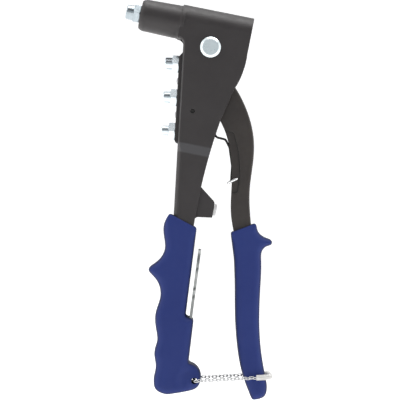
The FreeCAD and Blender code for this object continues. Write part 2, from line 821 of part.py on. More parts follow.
# ---------------------------------------------------------------------------
# Stop bracket and pad
# ---------------------------------------------------------------------------
def make_stop():
    """The lug that ends the lever's stroke: its tang sits between the cheeks."""
    body = new_body("stop_bracket")
    side = draw(
        new_sketch(body, "XZ_Plane"),
        (70.6, -103.5),
        (79.6, -110.2),
        [(81.0, -111.4), (81.5, -113.2)],
        (81.7, -121.9),
        (73.4, -123.2),
        [(71.4, -124.0), (70.6, -126.0)],
        (64.0, -126.0),
        (64.0, -103.5),
    )
    pad(body, side, "2 * (Sizes.handle_half_width - Sizes.wall)")
    seat = circle(new_sketch(body, "YZ_Plane", 85.0), 0, -116.6, "2.2")
    pocket(body, seat, "9", "One side")
    turned(
        "stop_pad",
        (-5.0, 0),
        (-5.0, 2.2),
        (0, 2.2),
        (0, 3.9),
        (1.1, 3.9),
        [(1.6, 3.4), (1.8, 2.6)],
        (1.8, 0),
        place=Placement(Vector(81.75, 0, -116.6), UPRIGHT),
    )


# ---------------------------------------------------------------------------
# Grips
# ---------------------------------------------------------------------------
GRIP_FLOOR = -189.2         # Z of the wrench pocket's mouth
POCKET_DEPTH = 18.0


def make_fixed_grip():
    """Moulded grip on the frame's handle: finger grooves and a spur in front, a
    shoulder with the wrench pocket and a heel with a cross hole behind."""
    body = new_body("fixed_grip")
    side = draw(
        new_sketch(body, "XZ_Plane"),
        (53.9, -124.5),
        [(51.7, -132.5), (53.3, -140.0), (55.4, -147.5), (53.8, -154.5), (48.7, -160.6)],
        [(47.4, -163.0), (48.7, -164.9)],
        [(55.3, -170.2), (58.7, -179.9), (57.7, -190.5), (60.0, -200.2),
         (62.3, -208.5), (61.8, -215.0), (64.3, -223.0), (64.7, -232.0)],
        [(67.2, -238.9), (75.2, -241.1)],
        (89.6, -235.9),
        [(93.9, -232.9), (95.2, -229.0), (94.4, -223.2)],
        [(91.4, -219.8), (85.1, -217.9)],
        (82.9, GRIP_FLOOR - 0.6),
        (82.3, GRIP_FLOOR),
        (77.2, GRIP_FLOOR + 0.8),
        (73.1, -130.3),
    )
    pad(body, side, "2 * Sizes.fixed_grip_half")

    # the handle's own space
    end = size("handle_end")
    room = draw(
        new_sketch(body, "XZ_Plane"),
        front_edge(-100.0),
        front_edge(end),
        (front_edge(end)[0] + 5.5, end),
        (73.0, -187.0),
        (70.8, -123.0),
        (70.8, -100.0),
    )
    pocket(body, room, "2 * Sizes.handle_half_width")

    # the wrench pocket follows the wrench's lean
    slot = new_sketch(body, "XZ_Plane")
    down = wrench_axis() * -1
    across = Vector(-down.z, 0, down.x).normalize() * -1
    mouth = wrench_foot() - down * (POCKET_DEPTH + 6)
    foot = wrench_foot() + down * 0.3
    half = size("wrench_thickness") / 2 + 0.2
    corners = [mouth + across * half, foot + across * half,
               foot - across * half, mouth - across * half]
    draw(slot, *[(p.x, p.z) for p in corners])
    pocket(body, slot, "2 * Sizes.wrench_half_width + 0.6")

    heel = circle(new_sketch(body, "XZ_Plane"), HEEL.x, HEEL.z, str(HEEL_HOLE))
    pocket(body, heel, "40")
    for side_of in (1, -1):
        dish = new_sketch(body, "XZ_Plane", side_of * size("fixed_grip_half"))
        circle(dish, HEEL.x, HEEL.z, str(HEEL_DISH))
        pocket(body, dish, "Sizes.fixed_grip_half - Sizes.heel_half", "One side",
               reverse=side_of < 0)
    return body


def make_lever_grip():
    """Moulded grip on the lever, with one spur behind."""
    body = new_body("lever_grip")
    side = draw(
        new_sketch(body, "XZ_Plane"),
        (95.6, -128.9),
        (110.4, -119.8),
        [(111.4, -121.8), (113.0, -124.9), (116.4, -127.3), (122.3, -128.4)],
        [(123.7, -130.0), (123.3, -132.0)],
        [(119.6, -134.0), (118.0, -137.6), (118.7, -142.6), (121.6, -159.6), (125.9, -184.7),
         (131.2, -203.8), (138.4, -222.0)],
        [(138.6, -229.6), (130.9, -234.0)],
        [(121.0, -217.8), (114.6, -201.6), (109.0, -181.0), (104.6, -160.0),
         (101.2, -145.6)],
    )
    pad(body, side, "2 * Sizes.lever_grip_half")
    room = draw(
        new_sketch(body, "XZ_Plane"),
        LEVER_BACK[0],
        LEVER_BACK[1:],
        LEVER_FRONT[0],
        LEVER_FRONT[1:],
    )
    pocket(body, room, "2 * Sizes.lever_half_width")
    return body


# ---------------------------------------------------------------------------
# Wrench
# ---------------------------------------------------------------------------
def wrench_axis():
    """The direction in which the wrench is pulled out, upwards."""
    lean = math.radians(size("wrench_lean"))
    return Vector(-math.sin(lean), 0, math.cos(lean))


def wrench_foot():
    """The centre of the wrench's lower end."""
    return Vector(80.9, 0, GRIP_FLOOR) - wrench_axis() * POCKET_DEPTH


def make_wrench():
    """Stamped flat wrench: an open jaw above and a hexagon hole below it."""
    body = new_body("wrench")
    half, length = size("wrench_half_width"), size("wrench_length")
    flats = size("hexagon") / 2 + 0.15
    neck = 6.0
    outline = draw(
        new_sketch(body, "YZ_Plane"),
        (-half, 0),
        (-half, length - 34),
        [(-half + 0.6, length - 30), (-neck, length - 26), (-half + 0.4, length - 18),
         (-half, length - 12)],
        [(-half + 1.0, length - 4), (-flats, length)],
        (-flats, length - 8.5),
        [(0, length - 12.5), (flats, length - 8.5)],
        (flats, length),
        [(half - 1.0, length - 4), (half, length - 12)],
        [(half - 0.4, length - 18), (neck, length - 26), (half - 0.6, length - 30),
         (half, length - 34)],
        (half, 0),
    )
    pad(body, outline, "Sizes.wrench_thickness")
    hole = new_sketch(body, "YZ_Plane")
    corner = 5.6
    middle = 14.0
    turns = [math.radians(60 * n) for n in range(6)]
    draw(hole, *[(corner * math.cos(a), middle + corner * math.sin(a)) for a in turns])
    pocket(body, hole, "4 * Sizes.wrench_thickness")
    body.Placement = Placement(wrench_foot(), Rotation(Vector(0, 0, 1), wrench_axis()))
    return body


# ---------------------------------------------------------------------------
# Keeper chain
# ---------------------------------------------------------------------------
HEEL = Vector(91.2, 0, -228.6)      # centre of the heel's cross hole
HEEL_HOLE = 2.0
HEEL_DISH = 9.0                     # radius of the thinner part round the hole
WRAP = Vector(131.0, 0, -218.4)     # where the strands reach the lever grip's back
WRAP_REACH = 8.4                    # from there to the outermost point of the loop
WRAP_ROUND = 3.0                    # radius of its bends round the grip's back edge
SLEEVE_STRAIGHT = 6.0               # the sleeve's straight run along each side
SLEEVE_WALL = 0.35
LINK_CLEAR = size("link_width") / 2 + 0.4
HEEL_SIDE = size("heel_half") + LINK_CLEAR
WRAP_SIDE = size("lever_grip_half") + size("sleeve_radius") + 0.25


def chain_route():
    """The closed line of the loop: out of the heel hole in front, along the front
    of the lever grip, round its back edge and home behind.  The points lie in the
    loop's own plane, (along, y), along being the distance from the heel hole."""
    span = (WRAP - HEEL).Length
    turn = 1.6
    slope = math.atan2(HEEL_SIDE - WRAP_SIDE, span)
    straight = Vector(0, -HEEL_SIDE + turn, 0)
    middle = math.radians(45)
    knee = Vector(turn, -HEEL_SIDE + turn, 0) - Vector(math.cos(middle), math.sin(middle), 0) * turn
    corner = Vector(turn * (1 - math.sin(slope)), -HEEL_SIDE + turn * (1 - math.cos(slope)), 0)
    bend = WRAP_ROUND
    bend_centre = Vector(span + WRAP_REACH - bend, -WRAP_SIDE + bend, 0)
    strand_end = bend_centre + Vector(0, -bend, 0)
    bulge = bend_centre + Vector(math.cos(middle), -math.sin(middle), 0) * bend
    back = bend_centre + Vector(bend, 0, 0)
    half = [
        Part.LineSegment(Vector(), straight).toShape(),
        Part.Arc(straight, knee, corner).toShape(),
        Part.LineSegment(corner, strand_end).toShape(),
        Part.Arc(strand_end, bulge, back).toShape(),
        Part.LineSegment(back, Vector(back.x, 0, 0)).toShape(),
    ]
    return half


def loop_frame():
    """Turns the loop's own plane into the tool's: along the strands, across, up."""
    along = (WRAP - HEEL).normalize()
    return Placement(HEEL, Rotation(along, Vector(0, 1, 0), Vector(0, 0, 1), "XYZ"))


def make_link():
    """One flat-sided link, along X, in the XY plane, centred on the origin."""
    wire = size("link_wire")

    def slab(length, width):
        round_end = width / 2
        straight = length / 2 - round_end
        top, low = Vector(straight, round_end, 0), Vector(straight, -round_end, 0)
        left_low, left_top = Vector(-straight, -round_end, 0), Vector(-straight, round_end, 0)
        edges = [
            Part.LineSegment(left_top, top).toShape(),
            Part.Arc(top, Vector(length / 2, 0, 0), low).toShape(),
            Part.LineSegment(low, left_low).toShape(),
            Part.Arc(left_low, Vector(-length / 2, 0, 0), left_top).toShape(),
        ]
        return Part.Face(Part.Wire(edges)).extrude(Vector(0, 0, wire))

    length, width = size("link_length"), size("link_width")
    link = slab(length, width).cut(slab(length - 2 * wire, width - 2 * wire))
    link.translate(Vector(0, 0, -wire / 2))
    return link


def make_chain():
    """Links along the closed route, each turned a quarter from the last."""
    half = Part.Wire(chain_route())
    pitch = size("link_length") - 2 * size("link_wire")
    count = 2 * round(half.Length / pitch)
    points = half.discretize(Number=count // 2 + 1)
    back = [Vector(p.x, -p.y, 0) for p in reversed(points)]
    ring = points + back[1:-1]
    link, links = make_link(), []
    for n, here in enumerate(ring):
        there = ring[(n + 1) % len(ring)]
        along = (there - here).normalize()
        quarter = Rotation(Vector(1, 0, 0), 90 * (n % 2) + 45)
        turn = Rotation(Vector(0, 0, 1), math.degrees(math.atan2(along.y, along.x)))
        one = link.copy()
        one.Placement = loop_frame() * Placement((here + there) / 2, turn * quarter)
        links.append(one)
    add_shape("keeper_chain", Part.makeCompound(links))

    # plastic sleeve on the part of the loop that goes round the lever grip
    bend, back = chain_route()[-2:]
    start = bend.valueAt(bend.FirstParameter)
    tail = Part.LineSegment(start - Vector(SLEEVE_STRAIGHT, 0, 0), start).toShape()
    path = [tail, bend, back]
    mirrored = [e.mirror(Vector(), Vector(0, 1, 0)) for e in path]
    wire = Part.Wire(Part.sortEdges(path + mirrored)[0])
    outer, inner = size("sleeve_radius"), size("sleeve_radius") - SLEEVE_WALL
    begin = wire.OrderedEdges[0]
    at = begin.valueAt(begin.FirstParameter)
    along = begin.tangentAt(begin.FirstParameter)
    rings = [Part.Wire(Part.makeCircle(r, at, along)) for r in (outer, inner)]
    skin, hole = [wire.makePipeShell([r], True, True) for r in rings]
    sleeve = skin.cut(hole)
    sleeve.Placement = loop_frame()
    add_shape("chain_sleeve", sleeve)


# ---------------------------------------------------------------------------
# Build, check and write
# ---------------------------------------------------------------------------
make_frame()
make_nose()
make_spares()
make_holder()
make_pivot()
make_lever()
make_return_spring()
make_jaw_case()
make_stop()
make_fixed_grip()
make_lever_grip()
make_wrench()
make_chain()
doc.recompute()

for made in doc.Objects:
    if {"Invalid", "Error"} & set(made.State):
        raise RuntimeError(f"{made.Label} failed to build: {made.State}")
for node in NODES:
    if node.Shape.isNull() or not node.Shape.isValid() or not node.Shape.Solids:
        raise RuntimeError(f"{node.Label} has no valid solid")

os.makedirs("parts", exist_ok=True)
for node in NODES:
    node.Shape.exportStep(f"parts/{node.Label}.step")
    box = node.Shape.BoundBox
    print(f"{node.Label:22s} solids {len(node.Shape.Solids):3d} volume {node.Shape.Volume:9.1f}"
          f"  x {box.XMin:7.2f} {box.XMax:7.2f}  y {box.YMin:7.2f} {box.YMax:7.2f}"
          f"  z {box.ZMin:8.2f} {box.ZMax:8.2f}")
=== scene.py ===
"""The looks of the hand riveter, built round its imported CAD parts.

Everything is in metres, in the CAD's own frame: +Z up, the pull axis along X with
the nose towards -X, and Y = 0 the tool's plane of symmetry.
"""

import json
import math

import bmesh
import bpy
import numpy as np
from mathutils import Matrix, Vector
from mathutils.geometry import delaunay_2d_cdt


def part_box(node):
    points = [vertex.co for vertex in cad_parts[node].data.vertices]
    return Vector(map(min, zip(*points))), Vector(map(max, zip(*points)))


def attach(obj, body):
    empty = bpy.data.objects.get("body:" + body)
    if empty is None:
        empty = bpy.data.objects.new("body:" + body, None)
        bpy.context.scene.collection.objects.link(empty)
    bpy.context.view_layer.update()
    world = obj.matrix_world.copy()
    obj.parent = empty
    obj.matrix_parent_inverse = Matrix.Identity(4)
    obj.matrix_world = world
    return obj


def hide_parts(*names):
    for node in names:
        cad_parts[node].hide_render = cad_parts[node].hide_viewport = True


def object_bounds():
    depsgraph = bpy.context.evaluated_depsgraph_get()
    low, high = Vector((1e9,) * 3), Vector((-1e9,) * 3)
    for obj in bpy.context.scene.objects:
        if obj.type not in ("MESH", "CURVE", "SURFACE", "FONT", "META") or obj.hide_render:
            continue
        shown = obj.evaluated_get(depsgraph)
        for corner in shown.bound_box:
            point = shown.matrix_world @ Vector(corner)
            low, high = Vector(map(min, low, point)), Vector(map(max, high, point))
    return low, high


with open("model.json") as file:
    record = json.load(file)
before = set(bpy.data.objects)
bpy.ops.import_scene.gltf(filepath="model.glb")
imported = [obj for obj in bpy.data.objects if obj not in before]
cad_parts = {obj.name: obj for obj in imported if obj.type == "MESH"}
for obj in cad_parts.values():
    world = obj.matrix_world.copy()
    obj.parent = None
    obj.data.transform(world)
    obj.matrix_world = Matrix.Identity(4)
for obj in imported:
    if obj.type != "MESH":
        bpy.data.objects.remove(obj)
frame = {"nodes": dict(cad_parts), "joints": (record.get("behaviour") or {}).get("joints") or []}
CAD_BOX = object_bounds()
NODES = frame["nodes"]
JOINTS = {joint["name"]: joint for joint in frame["joints"]}
MM = 0.001


# ---------------------------------------------------------------------------
# Camera, light and backdrop
# ---------------------------------------------------------------------------
VIEW_CENTRE = Vector((71.7, 0, -112.1)) * MM
VIEW_DISTANCE = 1200 * MM
VIEW_HEIGHT = 263.3 * MM         # height of the view at the tool's plane of symmetry
VIEW_ROLL = math.radians(11.3)  # the tool leans back by this in the view

SIDE_LAMP = 2.0                 # watts
TOP_LAMP = 6.0
FLOOR_DROP = 42 * MM            # the floor's depth below the tool, clear of the hanging chain
BACKDROP_GLOW = 0.35

# the room's colour by direction, from -1 towards the camera to 1 away from it
ROOM_BANDS = (
    (-1.00, (0.56, 0.59, 0.61)),
    (-0.92, (0.47, 0.50, 0.52)),
    (-0.86, (0.12, 0.13, 0.14)),
    (-0.78, (0.14, 0.14, 0.15)),
    (-0.35, (1.00, 1.00, 1.00)),
)


def make_camera():
    """Looks along +Y, level, rolled so that the tool leans."""
    data = bpy.data.cameras.new("camera")
    data.angle = 2 * math.atan(VIEW_HEIGHT / 2 / VIEW_DISTANCE)
    camera = bpy.data.objects.new("camera", data)
    right = Vector((math.cos(VIEW_ROLL), 0, math.sin(VIEW_ROLL)))
    back = Vector((0, -1, 0))
    up = back.cross(right)
    turn = Matrix((right, up, back)).transposed().to_4x4()
    camera.matrix_world = Matrix.Translation(VIEW_CENTRE + back * VIEW_DISTANCE) @ turn
    bpy.context.scene.collection.objects.link(camera)
    bpy.context.scene.camera = camera


def softbox(name, place, target, width, height, power):
    """A rectangular lamp at a place, turned to face the target."""
    light = bpy.data.lights.new(name, "AREA")
    light.shape = "RECTANGLE"
    light.size, light.size_y = width, height
    light.energy = power
    lamp = bpy.data.objects.new(name, light)
    lamp.location = place
    lamp.rotation_euler = (Vector(target) - Vector(place)).to_track_quat("-Z", "Y").to_euler()
    bpy.context.scene.collection.objects.link(lamp)


def make_lights():
    middle = VIEW_CENTRE
    softbox("softbox_left", (-0.85, -0.10, 0.0), middle, 0.4, 1.0, SIDE_LAMP)
    softbox("softbox_right", (0.95, -0.10, 0.0), middle, 0.4, 1.0, SIDE_LAMP)
    softbox("softbox_top", (0.05, -0.05, 0.75), middle, 1.0, 0.5, TOP_LAMP)


def make_world():
    """A pale room: a light card round the camera, a dark ring about it that gives
    the metal its dark bands, and white beyond."""
    world = bpy.data.worlds.new("room")
    bpy.context.scene.world = world
    world.use_nodes = True
    nodes, links = world.node_tree.nodes, world.node_tree.links
    nodes.clear()
    place = nodes.new("ShaderNodeTexCoord")
    split = nodes.new("ShaderNodeSeparateXYZ")
    from_camera = nodes.new("ShaderNodeMapRange")
    from_camera.inputs["From Min"].default_value = -1
    from_camera.inputs["From Max"].default_value = 1
    ramp = nodes.new("ShaderNodeValToRGB")
    bands = ramp.color_ramp.elements
    while len(bands) < len(ROOM_BANDS):
        bands.new(0.5)
    for band, (along, colour) in zip(bands, ROOM_BANDS):
        band.position = (along + 1) / 2
        band.color = (*colour, 1)
    shine = nodes.new("ShaderNodeBackground")
    shine.inputs["Strength"].default_value = 1.0
    out = nodes.new("ShaderNodeOutputWorld")
    links.new(place.outputs["Generated"], split.inputs[0])
    links.new(split.outputs["Y"], from_camera.inputs["Value"])
    links.new(from_camera.outputs[0], ramp.inputs[0])
    links.new(ramp.outputs[0], shine.inputs["Color"])
    links.new(shine.outputs[0], out.inputs[0])


def make_backdrop():
    """A white floor that curves up into a white wall behind the tool.  The floor
    lies below the reach of the keeper chain when it hangs down."""
    low = CAD_BOX[0][2] - FLOOR_DROP
    near, wall, side, high, bend = -3.0, 3.0, 3.0, 3.0, 0.8
    steps = 12
    profile = [(near, low), (wall - bend, low)]
    for n in range(1, steps + 1):
        turn = math.radians(90 * n / steps)
        profile.append((wall - bend + bend * math.sin(turn), low + bend * (1 - math.cos(turn))))
    profile.append((wall, high))
    mesh = bpy.data.meshes.new("backdrop")
    corners = [(x, y, z) for y, z in profile for x in (-side, side)]
    quads = [(2 * n, 2 * n + 1, 2 * n + 3, 2 * n + 2) for n in range(len(profile) - 1)]
    mesh.from_pydata(corners, [], quads)
    mesh.shade_smooth()
    backdrop = bpy.data.objects.new("backdrop", mesh)
    bpy.context.scene.collection.objects.link(backdrop)
    white = Surface("backdrop_white")
    white.shader.inputs["Roughness"].default_value = 0.9
    white.shader.inputs["Emission Strength"].default_value = BACKDROP_GLOW
    white.shader.inputs["Emission Color"].default_value = (1, 1, 1, 1)
    white.blotches(0.9, (0.93, 0.93, 0.93), (0.95, 0.95, 0.95))
    mesh.materials.append(white.material)


# ---------------------------------------------------------------------------
# Materials
# ---------------------------------------------------------------------------
class Surface:
    """A procedural material: a Principled shader with helpers that feed it."""

    def __init__(self, name, metallic=0.0, roughness=0.5, **sockets):
        self.material = bpy.data.materials.new(name)
        self.material.use_nodes = True
        self.nodes = self.material.node_tree.nodes
        self.links = self.material.node_tree.links
        self.shader = self.nodes["Principled BSDF"]
        self.shader.inputs["Metallic"].default_value = metallic
        self.shader.inputs["Roughness"].default_value = roughness
        for socket, value in sockets.items():
            self.shader.inputs[socket.replace("_", " ")].default_value = value
        self.place = self.nodes.new("ShaderNodeTexCoord").outputs["Object"]
        self.normal = None

    def noise(self, size, detail=2.0, stretch=(1, 1, 1)):
        """Noise whose patches are about this size, in metres."""
        mapping = self.nodes.new("ShaderNodeMapping")
        mapping.inputs["Scale"].default_value = [s / size for s in stretch]
        self.links.new(self.place, mapping.inputs["Vector"])
        noise = self.nodes.new("ShaderNodeTexNoise")
        noise.inputs["Scale"].default_value = 1.0
        noise.inputs["Detail"].default_value = detail
        self.links.new(mapping.outputs[0], noise.inputs["Vector"])
        return noise.outputs["Fac"]

    def between(self, value, low, high, start=0.3, end=0.7):
        """Maps a 0 to 1 value to a range of numbers or of colours."""
        ramp = self.nodes.new("ShaderNodeMapRange")
        ramp.inputs["From Min"].default_value = start
        ramp.inputs["From Max"].default_value = end
        self.links.new(value, ramp.inputs["Value"])
        if not isinstance(low, tuple):
            ramp.inputs["To Min"].default_value = low
            ramp.inputs["To Max"].default_value = high
            return ramp.outputs[0]
        return self.mix(ramp.outputs[0], low, high)

    def mix(self, factor, low, high):
        """Mixes two colours, each a tuple or another node's output."""
        mix = self.nodes.new("ShaderNodeMix")
        mix.data_type = "RGBA"
        self.links.new(factor, mix.inputs["Factor"])
        for socket, colour in ((mix.inputs["A"], low), (mix.inputs["B"], high)):
            if isinstance(colour, tuple):
                socket.default_value = (*colour, 1)
            else:
                self.links.new(colour, socket)
        return mix.outputs["Result"]

    def paint(self, colour):
        """Makes this the base colour, and returns it."""
        self.links.new(colour, self.shader.inputs["Base Color"])
        return colour

    def blotches(self, size, low, high, detail=3.0):
        """Base colour that wanders between two close colours."""
        return self.paint(self.between(self.noise(size, detail), low, high))

    def shaded(self, colour, shade):
        """Multiplies the base colour by a grey or a tint."""
        darker = self.nodes.new("ShaderNodeMix")
        darker.data_type = "RGBA"
        darker.blend_type = "MULTIPLY"
        darker.inputs["Factor"].default_value = 1.0
        self.links.new(colour, darker.inputs["A"])
        self.links.new(shade, darker.inputs["B"])
        return self.paint(darker.outputs["Result"])

    def gloss(self, size, low, high, stretch=(1, 1, 1)):
        """Roughness that wanders between two values."""
        value = self.between(self.noise(size, 3.0, stretch), low, high)
        self.links.new(value, self.shader.inputs["Roughness"])

    def soft_edges(self, radius):
        """Rounds the shading of hard edges, as a broken edge does."""
        bevel = self.nodes.new("ShaderNodeBevel")
        bevel.samples = 6
        bevel.inputs["Radius"].default_value = radius
        self.normal = bevel.outputs[0]
        self.links.new(self.normal, self.shader.inputs["Normal"])
        return self.normal

    def lit_worn_edges(self, colour, lit_worn, radius):
        """Lightens the base colour along edges: a painted edge highlight, together with the
        coating rubbed thin there.
        """
        rounded = self.nodes.new("ShaderNodeBevel")
        rounded.samples = 6
        rounded.inputs["Radius"].default_value = radius
        facing = self.nodes.new("ShaderNodeNewGeometry")
        dot = self.nodes.new("ShaderNodeVectorMath")
        dot.operation = "DOT_PRODUCT"
        self.links.new(rounded.outputs[0], dot.inputs[0])
        self.links.new(facing.outputs["Normal"], dot.inputs[1])
        edge = self.between(dot.outputs["Value"], 1.0, 0.0, 0.80, 0.97)
        return self.paint(self.mix(edge, colour, lit_worn))

    def crease_shade(self, colour, share, reach):
        """Darkens the base colour in inside corners: painted shade where the corners are hidden
        from the light.
        """
        open_sky = self.nodes.new("ShaderNodeAmbientOcclusion")
        open_sky.samples = 8
        open_sky.only_local = True
        open_sky.inputs["Distance"].default_value = reach
        shade = self.between(open_sky.outputs["AO"], (share,) * 3, (1.0,) * 3, 0.55, 0.95)
        return self.shaded(colour, shade)

    def shaded_flanks(self, colour, share, start=0.25, end=0.75):
        """Darkens the base colour where the surface turns away from the tool's
        sides: painted shade, and on metal painted dark reflections."""
        facing = self.nodes.new("ShaderNodeNewGeometry")
        split = self.nodes.new("ShaderNodeSeparateXYZ")
        size = self.nodes.new("ShaderNodeMath")
        size.operation = "ABSOLUTE"
        self.links.new(facing.outputs["Normal"], split.inputs[0])
        self.links.new(split.outputs["Y"], size.inputs[0])
        shade = self.between(size.outputs[0], (share,) * 3, (1.0,) * 3, start, end)
        return self.shaded(colour, shade)

    def band(self, colour, other, low, high, soft):
        """Another base colour between two heights, in metres, with soft limits."""
        split = self.nodes.new("ShaderNodeSeparateXYZ")
        self.links.new(self.place, split.inputs[0])
        height = split.outputs["Z"]
        above = self.between(height, 0.0, 1.0, low - soft, low + soft)
        below = self.between(height, 1.0, 0.0, high - soft, high + soft)
        both = self.nodes.new("ShaderNodeMath")
        both.operation = "MULTIPLY"
        self.links.new(above, both.inputs[0])
        self.links.new(below, both.inputs[1])
        return self.paint(self.mix(both.outputs[0], colour, other))

    def grain(self, size, height, detail=2.0, stretch=(1, 1, 1)):
        """Fine bumps of this size and height, in metres."""
        bump = self.nodes.new("ShaderNodeBump")
        bump.inputs["Strength"].default_value = 1.0
        bump.inputs["Distance"].default_value = height
        self.links.new(self.noise(size, detail, stretch), bump.inputs["Height"])
        if self.normal:
            self.links.new(self.normal, bump.inputs["Normal"])
        self.normal = bump.outputs[0]
        self.links.new(self.normal, self.shader.inputs["Normal"])


JOGGLE = (-83.6 * MM, -77.6 * MM)       # the heights between which the cheeks step out


def satin_black():
    """Satin powder coat: near black, faintly brown, with orange peel, and a paler band
    painted across the joggle as a highlight, where its stepped face catches the light."""
    s = Surface("satin_black", roughness=0.5)
    colour = s.blotches(18 * MM, (0.0205, 0.0168, 0.0172), (0.0250, 0.0212, 0.0216))
    # painted highlight: a paler band across the joggle's stepped face
    colour = s.band(colour, (0.060, 0.058, 0.062), *JOGGLE, 0.5 * MM)
    # painted edge highlight, with some wear, along every edge
    colour = s.lit_worn_edges(colour, (0.065, 0.06, 0.06), 0.5 * MM)
    # painted shade in the inside corners and grooves
    s.crease_shade(colour, 0.25, 2.5 * MM)
    s.gloss(3 * MM, 0.42, 0.54)
    s.soft_edges(0.5 * MM)
    s.grain(0.5 * MM, 0.018 * MM)
    return s.material


def lever_black():
    """The lever's finish: the same coat, duller and browner, with lighter painted edge
    highlights and wear, and deeper painted shade in its creases.
    """
    s = Surface("lever_black", roughness=0.55)
    colour = s.blotches(14 * MM, (0.0175, 0.0130, 0.0112), (0.0260, 0.0205, 0.0172))
    # painted edge highlight, with some wear, lighter than the frame's
    colour = s.lit_worn_edges(colour, (0.07, 0.062, 0.055), 0.4 * MM)
    # painted shade in the lever's grooves, darker than on the frame
    s.crease_shade(colour, 0.12, 2.0 * MM)
    s.gloss(2.5 * MM, 0.46, 0.62)
    s.soft_edges(0.5 * MM)
    s.grain(0.4 * MM, 0.02 * MM)
    return s.material


def bright_zinc():
    """Bright zinc plate with a blue cast and fine turning marks."""
    s = Surface("bright_zinc", metallic=1.0, roughness=0.2)
    s.blotches(2.2 * MM, (0.58, 0.64, 0.68), (0.70, 0.75, 0.78))
    s.gloss(1.2 * MM, 0.12, 0.22)
    s.soft_edges(0.2 * MM)
    s.grain(0.25 * MM, 0.004 * MM)
    return s.material


def dulled_zinc():
    """The mounted nosepiece: the same plate, darker and a little rougher."""
    s = Surface("dulled_zinc", metallic=1.0, roughness=0.24)
    s.blotches(2.2 * MM, (0.34, 0.39, 0.42), (0.43, 0.48, 0.51))
    s.gloss(1.2 * MM, 0.16, 0.26)
    s.soft_edges(0.2 * MM)
    s.grain(0.25 * MM, 0.004 * MM)
    return s.material


def pale_steel():
    """The pivot pin: fine-turned steel with a blue-grey cast."""
    s = Surface("pale_steel", metallic=1.0, roughness=0.3)
    s.blotches(6 * MM, (0.74, 0.82, 0.84), (0.80, 0.87, 0.89))
    s.gloss(2.0 * MM, 0.26, 0.34)
    s.soft_edges(0.25 * MM)
    s.grain(0.6 * MM, 0.002 * MM)
    return s.material


def machined_steel():
    """Plain turned steel of the hidden parts, thinly oiled."""
    s = Surface("machined_steel", metallic=1.0, roughness=0.3)
    s.blotches(4 * MM, (0.36, 0.36, 0.365), (0.46, 0.46, 0.465))
    s.gloss(1.5 * MM, 0.24, 0.40)
    s.soft_edges(0.2 * MM)
    s.grain(0.3 * MM, 0.006 * MM, stretch=(4, 1, 1))
    return s.material


def dark_wire():
    """Oil-blackened spring wire."""
    s = Surface("dark_wire", metallic=0.8, roughness=0.38)
    s.blotches(3 * MM, (0.035, 0.034, 0.033), (0.06, 0.058, 0.055))
    s.gloss(1.0 * MM, 0.3, 0.45)
    s.grain(0.3 * MM, 0.005 * MM)
    return s.material


def bright_wire():
    """Bright pale wire of the spring's hook."""
    s = Surface("bright_wire", metallic=1.0, roughness=0.22)
    s.blotches(1.5 * MM, (0.82, 0.83, 0.84), (0.93, 0.93, 0.93))
    s.gloss(0.8 * MM, 0.16, 0.28)
    s.grain(0.3 * MM, 0.004 * MM)
    return s.material


def stamped_grey():
    """The wrench: stamped steel with a dull plate and drawn scratches."""
    s = Surface("stamped_grey", metallic=0.9, roughness=0.36)
    s.blotches(6 * MM, (0.22, 0.23, 0.23), (0.33, 0.34, 0.33))
    s.gloss(1.5 * MM, 0.3, 0.45, stretch=(1, 1, 0.1))
    s.soft_edges(0.3 * MM)
    s.grain(0.2 * MM, 0.008 * MM, stretch=(1, 1, 0.05))
    return s.material


def chain_plate():
    """Bright nickel plate of the chain's links."""
    s = Surface("chain_plate", metallic=1.0, roughness=0.18)
    colour = s.blotches(2.5 * MM, (0.70, 0.71, 0.72), (0.88, 0.88, 0.88))
    # painted dark reflections on the links' flanks
    s.shaded_flanks(colour, 0.03, 0.5, 0.95)
    s.gloss(0.8 * MM, 0.12, 0.25)
    s.grain(0.3 * MM, 0.004 * MM)
    return s.material


def moulded_blue():
    """Matt blue moulded plastic with a fine spark-eroded grain."""
    s = Surface("moulded_blue", roughness=0.6, Specular_IOR_Level=0.2)
    colour = s.blotches(30 * MM, (0.0170, 0.0305, 0.145), (0.0195, 0.0345, 0.157))
    # painted shade along the grips' edges, where they turn away from the sides
    s.shaded_flanks(colour, 0.30)
    s.gloss(4 * MM, 0.56, 0.68)
    s.grain(0.45 * MM, 0.03 * MM, detail=4.0)
    return s.material


def milky_sleeve():
    """Soft milky tube, through which the links show a little."""
    s = Surface("milky_sleeve", roughness=0.35, Transmission_Weight=0.45, IOR=1.4)
    s.blotches(4 * MM, (0.86, 0.85, 0.82), (0.94, 0.93, 0.91))
    s.gloss(2 * MM, 0.3, 0.45)
    s.grain(0.6 * MM, 0.02 * MM)
    return s.material


def pale_rubber():
    """The stop's pale grey buffer."""
    s = Surface("pale_rubber", roughness=0.7)
    s.blotches(2 * MM, (0.84, 0.835, 0.83), (0.92, 0.915, 0.91))
    s.gloss(1.5 * MM, 0.6, 0.8)
    s.soft_edges(0.3 * MM)
    s.grain(0.4 * MM, 0.02 * MM)
    return s.material


FINISHES = {
    satin_black: ["frame", "nosepiece_holder", "stop_bracket"],
    lever_black: ["lever"],
    dulled_zinc: ["nosepiece_mounted"],
    bright_zinc: ["nosepiece_stored_1", "nosepiece_stored_2", "nosepiece_stored_3"],
    pale_steel: ["pivot_pin"],
    machined_steel: ["nose_bush", "holder_rivets", "pivot_washer", "thrust_washers",
                     "pivot_bush", "jaw_head", "jaw_sleeve",
                     "draw_collar", "jaws", "jaw_pusher", "jaw_spring"],
    dark_wire: ["spring_anchor_pin"],
    stamped_grey: ["wrench"],
    milky_sleeve: ["chain_sleeve"],
    pale_rubber: ["stop_pad"],
}


def finish_cad_nodes():
    for make, names in FINISHES.items():
        material = make()
        for name in names:
            slots = NODES[name].data.materials
            slots.clear()
            slots.append(material)


